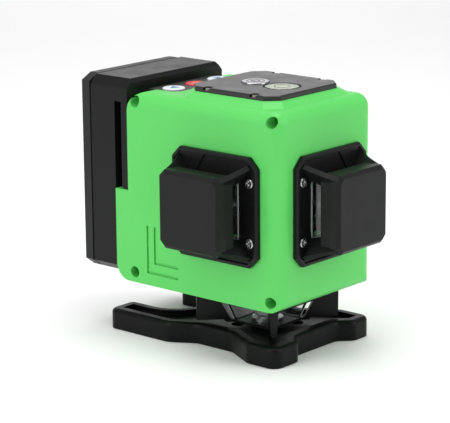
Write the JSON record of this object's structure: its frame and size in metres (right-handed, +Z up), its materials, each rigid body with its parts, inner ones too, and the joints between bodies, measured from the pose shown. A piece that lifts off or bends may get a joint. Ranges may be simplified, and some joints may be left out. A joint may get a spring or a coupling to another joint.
{
  "type": "rotating laser level",
  "caption": "Self-levelling cross-line laser in a box housing with cone-prism windows on the front, one side and below, a slide-on battery and a low swivelling stand.",
  "frame": {"origin": "on the ground, on the swivel axis of the stand, midway between its two screw holes", "axes": "+Z up; -Y out of the front laser window; -X out of the side laser window; +Y towards the battery"},
  "size_m": [0.0931, 0.1438, 0.1246],
  "materials": {
    "green_plastic": "moulded, fine satin grain",
    "black_plastic": "moulded, fine satin grain",
    "battery_plastic": "moulded, fine grain",
    "cover_plastic": "satin",
    "stand_plastic": "satin",
    "white_key": "semi gloss",
    "red_key": "semi gloss",
    "silver_button": "satin plated",
    "steel": "zinc plated",
    "brass": "turned",
    "copper": "rolled copper",
    "aluminium": "turned and milled",
    "bearing_steel": "polished",
    "magnet": "nickel plated",
    "window_glass": "polished",
    "prism_glass": "polished",
    "vial_acrylic": "polished",
    "vial_fluid": "clear liquid",
    "rubber": "matt",
    "silicone": "matt",
    "circuit_board": "solder mask",
    "cell_sleeve": "shrink sleeve"
  },
  "bodies": {
    "stand": {"stand_moulding": "stand_plastic", "rubber_feet": "rubber"},
    "clamp_screw": {"clamp_screw": "steel", "retaining_ring": "steel"},
    "level": {"left_housing_shell": "green_plastic", "right_housing_shell": "green_plastic", "housing_screws": "steel", "top_cover_plate": "cover_plastic", "top_cover_screws": "brass", "bubble_vial": "vial_acrylic", "vial_fluid": "vial_fluid", "keypad_panel": "black_plastic", "key_mat": "silicone", "key_board": "circuit_board", "front_hood": "black_plastic", "front_glass_panes": "window_glass", "front_hood_screws": "steel", "side_hood": "black_plastic", "side_glass_panes": "window_glass", "side_hood_screws": "steel", "bottom_hood": "black_plastic", "bottom_glass_panes": "window_glass", "bottom_hood_screws": "steel", "thread_insert": "steel", "gimbal_bracket": "aluminium", "roll_bearings": "bearing_steel", "damper_plate": "copper", "main_board": "circuit_board", "board_posts": "black_plastic"},
    "gimbal": {"gimbal_ring": "aluminium", "pitch_bearings": "bearing_steel"},
    "pendulum": {"pendulum_block": "aluminium", "front_laser_barrel": "aluminium", "side_laser_barrel": "aluminium", "bottom_laser_barrel": "brass", "front_lens_tube": "prism_glass", "front_cone_prism": "prism_glass", "side_lens_tube": "prism_glass", "side_cone_prism": "prism_glass", "bottom_lens_tube": "prism_glass", "bottom_cone_prism": "prism_glass", "balance_weights": "brass", "damper_magnet": "magnet"},
    "battery": {"battery_front_shell": "battery_plastic", "battery_rear_cover": "battery_plastic", "battery_cover_screws": "steel", "battery_cells": "cell_sleeve", "battery_contacts": "brass"},
    "power_button": {"power_button": "silver_button"},
    "vertical_line_key": {"vertical_line_key": "white_key"},
    "mode_key": {"mode_key": "red_key"},
    "horizontal_line_key": {"horizontal_line_key": "white_key"},
    "transport_lock": {"transport_lock_slider": "black_plastic"}
  },
  "joints": [
    {"name": "level_swivel", "type": "hinge", "parent": "stand", "child": "level", "pos_m": [0, 0, 0.0094], "axis": [0, 0, 1], "continuous": true},
    {"name": "clamp_screw_turn", "type": "hinge", "parent": "stand", "child": "clamp_screw", "pos_m": [0, 0, 0.003], "axis": [0, 0, 1], "continuous": true},
    {"name": "battery_slide", "type": "slide", "parent": "level", "child": "battery", "axis": [0, 0, 1], "range_m": [0, 0.045]},
    {"name": "power_button_press", "type": "slide", "parent": "level", "child": "power_button", "axis": [0, 0, -1], "range_m": [0, 0.0008], "stiffness_N_per_m": 500},
    {"name": "vertical_line_key_press", "type": "slide", "parent": "level", "child": "vertical_line_key", "axis": [0, 0, -1], "range_m": [0, 0.0005], "stiffness_N_per_m": 400},
    {"name": "mode_key_press", "type": "slide", "parent": "level", "child": "mode_key", "axis": [0, 0, -1], "range_m": [0, 0.0005], "stiffness_N_per_m": 400},
    {"name": "horizontal_line_key_press", "type": "slide", "parent": "level", "child": "horizontal_line_key", "axis": [0, 0, -1], "range_m": [0, 0.0005], "stiffness_N_per_m": 400},
    {"name": "gimbal_roll", "type": "hinge", "parent": "level", "child": "gimbal", "pos_m": [0, 0, 0.098], "axis": [0, 1, 0], "range_deg": [-3, 3]},
    {"name": "pendulum_pitch", "type": "hinge", "parent": "gimbal", "child": "pendulum", "pos_m": [0, 0, 0.098], "axis": [1, 0, 0], "range_deg": [-3, 3]},
    {"name": "transport_lock_slide", "type": "slide", "parent": "level", "child": "transport_lock", "axis": [0, 0, 1], "range_m": [0, 0.007]}
  ]
}
